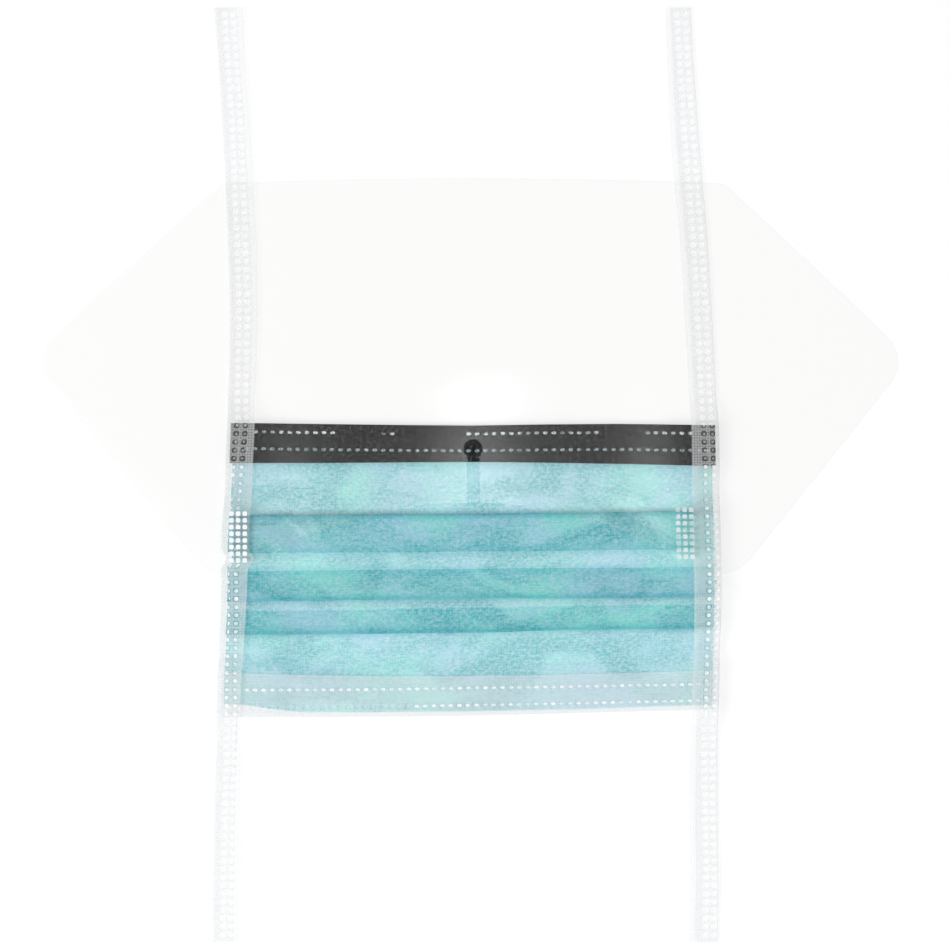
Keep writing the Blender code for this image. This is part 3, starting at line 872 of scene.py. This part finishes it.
def make_film(surface):
    size = sizes()
    work = film_mesh(surface)
    crease = Wave(CREASE_SEED, CREASE_SIZE, size.crease_height)
    for vert in work.verts:
        x, y, _ = vert.co
        free = max(smooth((y - MASK_TOP) / size.film_free), smooth((abs(x) - HALF_WIDTH) / size.film_free))
        slow = abs(ripple(x, y, FILM_WAVE))
        creased = 0.0
        for patch in PATCHES:
            away = math.hypot(x - CREASE_MIDDLE * patch.x, (y - patch.y) * CREASE_SQUEEZE)
            reach = away / size.crease_reach
            creased += smooth(1 - reach) * abs(ripple(x + CREASE_LEAN * y, y, crease))
        held = max(smooth(1 - math.hypot(x - patch.x, y - patch.y) / size.weld_reach) for patch in PATCHES)
        bow = size.bow_height * (1 + math.cos(math.pi * min(1.0, abs(x) / size.bow_reach))) / 2
        vert.co.z += free * slow + creased + (1 - held) * bow
    materials = [clear_film("visor_film"), clear_film("visor_rim", looks().rim_cover)]
    piece = finish_mesh("visor_film", work, materials)
    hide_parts("visor")
    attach(piece, BODY)


def make_patch(patch, surface):
    """Spots where the film is welded through to one of the mask's sides, three across and eight down."""
    size = sizes()
    work = bmesh.new()
    for row in range(size.patch_rows):
        for column in range(size.patch_columns):
            y = patch.y + (row - (size.patch_rows - 1) / 2) * size.patch_pitch
            lean = patch.lean * (y - patch.y)
            x = patch.x - lean + (column - (size.patch_columns - 1) / 2) * size.patch_pitch
            top = height_on(surface, x, y)
            spot = bmesh.ops.create_cube(work, size=1.0)["verts"]
            bmesh.ops.scale(work, verts=spot, vec=(size.patch_spot, size.patch_spot, size.patch_depth))
            bmesh.ops.translate(work, verts=spot, vec=(x, y, top + size.patch_rise - size.patch_depth / 2))
    half = size.patch_depth / 2
    upright = [edge for edge in work.edges if abs((edge.verts[0].co - edge.verts[1].co).z) > half]
    offset = PATCH_ROUNDING * size.patch_spot
    bmesh.ops.bevel(work, geom=upright, offset=offset, segments=3, profile=0.5, affect="EDGES", material=-1)
    layer = work.loops.layers.uv.new("flat")
    for face in work.faces:
        for loop in face.loops:
            loop[layer].uv = loop.vert.co.xy
    material = weld(patch.name, looks().weld_bright, patch.least_cover, patch.most_cover)
    piece = finish_mesh(patch.name, work, [material])
    piece.data.set_sharp_from_angle(angle=PATCH_SHARP_ANGLE)
    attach(piece, BODY)


# The stage


def make_floor():
    setting = stage_settings()
    work = bmesh.new()
    bmesh.ops.create_grid(work, x_segments=1, y_segments=1, size=setting.floor_size / 2)
    material, tree = new_material("floor")
    glow = {"Emission Color": WHITE, "Emission Strength": setting.floor_glow}
    close_material(tree, principled(tree, (*setting.floor_colour, 1.0), 0.9, 0.0, glow))
    floor = finish_mesh("floor", work, [material])
    floor.data.transform(((1, 0, 0, 0), (0, 1, 0, 0), (0, 0, 1, setting.floor_drop), (0, 0, 0, 1)))


def add_light(name, place, target, width, length, power):
    lamp = bpy.data.lights.new(name, "AREA")
    lamp.shape = "RECTANGLE"
    lamp.size = width
    lamp.size_y = length
    lamp.energy = power
    light = bpy.data.objects.new(name, lamp)
    light.location = place
    light.rotation_euler = (Vector(target) - Vector(place)).to_track_quat("-Z", "Y").to_euler()
    bpy.context.scene.collection.objects.link(light)


def make_lights():
    """A large soft lamp to the side, a narrow one above that the film mirrors, and even light all round."""
    setting = stage_settings()
    width = setting.side_width
    add_light("side_light", setting.side_place, (0, 0, 0), width, width, setting.side_light)
    below = (setting.top_place[0], setting.top_place[1], 0.0)
    add_light("top_light", setting.top_place, below, setting.top_width, setting.top_length, setting.top_light)
    world = bpy.data.worlds.new("studio")
    world.use_nodes = True
    background = world.node_tree.nodes["Background"]
    background.inputs["Color"].default_value = WHITE
    background.inputs["Strength"].default_value = setting.sky_light
    bpy.context.scene.world = world


def make_camera():
    setting = stage_settings()
    data = bpy.data.cameras.new("camera")
    data.lens = setting.lens
    data.clip_start = 0.01
    data.clip_end = 20.0
    camera = bpy.data.objects.new("camera", data)
    distance = setting.view_width * data.lens / data.sensor_width
    camera.location = (setting.view_shift, 0.0, distance)
    bpy.context.scene.collection.objects.link(camera)
    bpy.context.scene.camera = camera


# Settings


def length_setting(name, description, length):
    return FloatProperty(name=name, description=description, default=length, unit="LENGTH")


def number_setting(name, description, number):
    return FloatProperty(name=name, description=description, default=number)


def count_setting(name, description, count):
    return IntProperty(name=name, description=description, default=count)


def power_setting(name, description, power):
    return FloatProperty(name=name, description=description, default=power, unit="POWER")


def place_setting(name, description, place):
    return FloatVectorProperty(name=name, description=description, default=place, subtype="TRANSLATION")


def colour_setting(name, description, colour):
    return FloatVectorProperty(
        name=name, description=description, default=colour, subtype="COLOR", min=0.0, max=1.0
    )


class FaceMaskSizes(PropertyGroup):
    layer: length_setting("Layer pitch", "Distance from one folded layer to the next", 0.0013)
    solid_wall: length_setting("Solid wall", "Thickness of the cloth's solid", 0.001)
    side_tuck: length_setting("Side tuck", "Cloth's sides in from its solid's sides", 0.0011)
    slant: length_setting("Slant", "Length at each end that a slanted side takes up", 0.004)
    cloth_lift: length_setting("Cloth lift", "Middle of the cloth above its solid's underside", 0.0003)
    ripple_lift: length_setting("Ripple lift", "How far the cloth is lifted to give its waves room", 0.00015)
    ramp: length_setting("Ramp", "Length over which the cloth climbs over a strip's rear leg", 0.005)
    cloth_step: length_setting("Cloth step", "Length of a cloth face", 0.0017)
    # Painted shade along the folds: from a fold's edge to its darkest line
    crease_shade_place: length_setting("Crease place", "From a fold's edge to its darkest line", 0.0006)
    still_share: number_setting("Still share", "Share of the half width where the waves die out", 0.08)
    wrinkle_width: length_setting("Wrinkle width", "Half the width of a short wrinkle", 0.0016)
    wrinkle_fade: length_setting("Wrinkle fade", "Length over which a wrinkle dies out", 0.009)
    wrinkle_depth: length_setting("Wrinkle depth", "How far a wrinkle is pressed in", 0.0002)
    # Painted shade in a wrinkle
    wrinkle_shade: number_setting("Wrinkle shade", "How much of the fold colour a wrinkle takes", 0.6)
    # Painted shade: along the folds, by the strip, and at the edges of the gap between two pleats
    crease_shade_width: length_setting("Crease width", "Half width of a fold's dark line", 0.0022)
    strip_shade: number_setting("Strip shade", "How dark the cloth is by the strip", 0.55)
    strip_reach: length_setting("Strip reach", "How far the strip darkens the cloth", 0.0055)
    gap_shade: number_setting("Gap shade", "How dark the edges of the gap are", 0.6)
    gap_half: length_setting("Gap half", "Half width of the gap between two pleats", 0.0031)
    cloth_columns: count_setting("Cloth columns", "Cloth faces from side to side", 108)
    fold_steps: count_setting("Fold steps", "Faces round a fold", 8)
    fold_radius: length_setting("Fold radius", "Largest radius of a ribbon's fold", 0.0007)
    sway_reach: length_setting("Sway reach", "From a tie's fold to where its legs sway freely", 0.012)
    ribbon_lift: length_setting("Ribbon lift", "Middle of a ribbon above its solid's underside", 0.00015)
    ribbon_levels: count_setting("Ribbon smoothing", "Subdivision levels of a ribbon", 1)
    rear_share: number_setting("Rear leg", "Width of a tie's rear leg as a share of its front leg", 0.79)
    dot_pitch: length_setting("Dot pitch", "From dot to dot along a tie", 0.00288)
    dot_size: length_setting("Dot size", "Side of a tie's weld dot", 0.0019)
    dot_rim: length_setting("Dot rim", "Width of the slope round a dot", 0.00012)
    dot_ring: length_setting("Dot ring", "Width of a dot's outer ring", 0.0003)
    dot_depth: length_setting("Dot depth", "How deep a dot is pressed", 0.0003)
    dash_pitch: length_setting("Dash pitch", "From dash to dash along the strip and the binding", 0.00299)
    dash_length: length_setting("Dash length", "Length of a dash", 0.0022)
    dash_width: length_setting("Dash width", "Width of a dash", 0.0015)
    film_rim: length_setting("Film rim", "Width of the film's cut edge", 0.0003)
    film_step: length_setting("Film step", "Size of a film face", 0.003)
    film_merge: length_setting("Film merge", "Corners of its net nearer than this become one", 0.0007)
    film_smoothing: count_setting("Film smoothing", "Times the film is smoothed", 12)
    look_height: length_setting("Look height", "Height above the film that its surface is read from", 0.03)
    film_free: length_setting("Film free", "From the mask to where the film ripples freely", 0.03)
    bow_height: length_setting("Bow height", "How far the film bows up in its middle", 0.0016)
    bow_reach: length_setting("Bow reach", "From the middle to where the film lies as it was", 0.073)
    weld_reach: length_setting("Weld reach", "How far a weld patch keeps the film from bowing", 0.045)
    crease_reach: length_setting("Crease reach", "How far the creases run from a weld patch", 0.03)
    crease_height: length_setting("Crease height", "Height of the creases by a weld patch", 0.0008)
    patch_rows: count_setting("Patch rows", "Weld spots down a patch", 8)
    patch_columns: count_setting("Patch columns", "Weld spots across a patch", 3)
    patch_pitch: length_setting("Patch pitch", "From spot to spot", 0.00233)
    patch_spot: length_setting("Patch spot", "Side of a weld spot", 0.0016)
    patch_rise: length_setting("Patch rise", "How far a weld spot stands out of the film", 0.0001)
    patch_depth: length_setting("Patch depth", "Depth of a weld spot", 0.0008)


class FaceMaskLooks(PropertyGroup):
    teal_deep: colour_setting("Deep teal", "Cloth where its plies lie thick", (0.07, 0.49, 0.545))
    teal_green: colour_setting("Green teal", "Cloth where it turns green", (0.22, 0.75, 0.70))
    teal_blue: colour_setting("Blue teal", "Cloth where it turns blue", (0.31, 0.66, 0.78))
    teal_pale: colour_setting("Pale teal", "Cloth's palest fibres", (0.70, 0.88, 0.93))
    # Colour that the painted shade multiplies the cloth by
    teal_shade: colour_setting("Shaded teal", "What a fold leaves of the cloth's colour", (0.50, 0.80, 0.83))
    teal_cover: number_setting("Teal cover", "How little shows through the cloth", 0.79)
    teal_glow: number_setting("Teal glow", "Share of light that the cloth scatters through", 0.15)
    white_deep: colour_setting("Grey white", "Ribbon where its fibres are thin", (0.80, 0.81, 0.83))
    white_pale: colour_setting("White", "Ribbon's fibres", (0.92, 0.93, 0.945))
    white_cover: number_setting("White cover", "How little shows through a ribbon", 0.385)
    black_deep: colour_setting("Black", "Anti-glare cloth", (0.005, 0.005, 0.006))
    black_pale: colour_setting("Grey black", "Anti-glare cloth's fibres", (0.06, 0.06, 0.063))
    # Painted glint: the pale colours that the strip's weld spots are painted
    chip_glint: colour_setting("Chip", "Melted chips in the black strip", (0.80, 0.90, 0.90))
    ring: colour_setting("Ring", "Rings of the black strip's inner row", (0.34, 0.48, 0.48))
    weld_clear: colour_setting("Clear weld", "Weld dots on a bare tie", (0.93, 0.95, 0.95))
    weld_bright: colour_setting("Bright weld", "Weld dots over the cloth", (0.95, 0.98, 0.98))
    film_tint: colour_setting("Film tint", "Light that comes through the film", (0.975, 0.975, 0.97))
    film_tone: colour_setting("Film tone", "Film's cut edge", (0.60, 0.62, 0.63))
    film_mirror: number_setting("Film mirror", "Share of light that the film mirrors", 0.04)
    film_roughness: number_setting("Film roughness", "How soft the film's gloss is", 0.12)
    rim_cover: number_setting("Rim cover", "How strongly the film's cut edge shows", 0.12)
    bond_pitch: length_setting("Bond pitch", "From bond point to bond point in the cloth", 0.00095)


class FaceMaskStage(PropertyGroup):
    floor_size: length_setting("Floor size", "Side of the floor", 6.0)
    floor_drop: length_setting("Floor drop", "Height of the floor", -0.0002)
    floor_colour: colour_setting("Floor colour", "Pale floor", (0.30, 0.30, 0.30))
    floor_glow: number_setting("Floor glow", "Light from the floor itself", 0.71)
    side_light: power_setting("Side light", "Power of the lamp to the side", 33.0)
    side_width: length_setting("Side width", "Side of that lamp", 1.0)
    side_place: place_setting("Side place", "Where that lamp hangs", (-1.5, -0.8, 1.6))
    top_light: power_setting("Top light", "Power of the lamp above", 0.17)
    top_width: length_setting("Top width", "Width of that lamp", 0.09)
    top_length: length_setting("Top length", "Length of that lamp", 0.165)
    top_place: place_setting("Top place", "Where that lamp hangs", (0.004, -0.035, 1.25))
    sky_light: number_setting("Sky light", "Strength of the even light", 0.62)
    lens: number_setting("Lens", "Focal length in millimetres", 100.0)
    view_width: length_setting("View width", "Width of floor in view", 0.3333)
    view_shift: length_setting("View shift", "How far the camera stands to the right", 0.0016)


# Operators


class FACEMASK_OT_cloth(Operator):
    """Make the pleated cloth"""

    bl_idname = "face_mask.cloth"
    bl_label = "Pleated Cloth"

    def execute(self, context):
        make_cloth()
        return {"FINISHED"}


class FACEMASK_OT_edges(Operator):
    """Make the anti-glare strip and the bottom binding"""

    bl_idname = "face_mask.edges"
    bl_label = "Strip and Binding"

    def execute(self, context):
        make_strip()
        make_binding()
        return {"FINISHED"}


class FACEMASK_OT_ties(Operator):
    """Make the two side bindings with their ties"""

    bl_idname = "face_mask.ties"
    bl_label = "Ties"

    def execute(self, context):
        for side in TIE_DOTS:
            make_tie(side)
        return {"FINISHED"}


class FACEMASK_OT_visor(Operator):
    """Make the clear film and the welds that hold it"""

    bl_idname = "face_mask.visor"
    bl_label = "Visor"

    def execute(self, context):
        surface = film_surface()
        make_film(surface)
        for patch in PATCHES:
            make_patch(patch, surface)
        return {"FINISHED"}


class FACEMASK_OT_stage(Operator):
    """Make the floor, the lights and the camera"""

    bl_idname = "face_mask.stage"
    bl_label = "Stage"

    def execute(self, context):
        make_floor()
        make_lights()
        make_camera()
        scene = context.scene
        scene.view_settings.view_transform = "Standard"
        scene.cycles.transparent_max_bounces = 32
        return {"FINISHED"}


class FACEMASK_PT_panel(Panel):
    """Lists the pieces of the mask"""

    bl_idname = "FACEMASK_PT_panel"
    bl_label = "Face Mask"
    bl_space_type = "VIEW_3D"
    bl_region_type = "UI"
    bl_category = "Face Mask"

    def draw(self, context):
        for operator in OPERATORS:
            self.layout.operator(operator.bl_idname)


OPERATORS = (FACEMASK_OT_stage, FACEMASK_OT_cloth, FACEMASK_OT_edges, FACEMASK_OT_ties, FACEMASK_OT_visor)
GROUPS = {
    "face_mask_sizes": FaceMaskSizes,
    "face_mask_looks": FaceMaskLooks,
    "face_mask_stage": FaceMaskStage,
}


def register():
    for item in (*GROUPS.values(), *OPERATORS, FACEMASK_PT_panel):
        bpy.utils.register_class(item)
    for name, group in GROUPS.items():
        setattr(bpy.types.Scene, name, PointerProperty(type=group))


def unregister():
    for name in GROUPS:
        delattr(bpy.types.Scene, name)
    for item in (FACEMASK_PT_panel, *reversed(OPERATORS), *reversed(GROUPS.values())):
        bpy.utils.unregister_class(item)


def main():
    register()
    bpy.ops.face_mask.stage()
    bpy.ops.face_mask.cloth()
    bpy.ops.face_mask.edges()
    bpy.ops.face_mask.ties()
    bpy.ops.face_mask.visor()


if __name__ == "__main__":
    main()
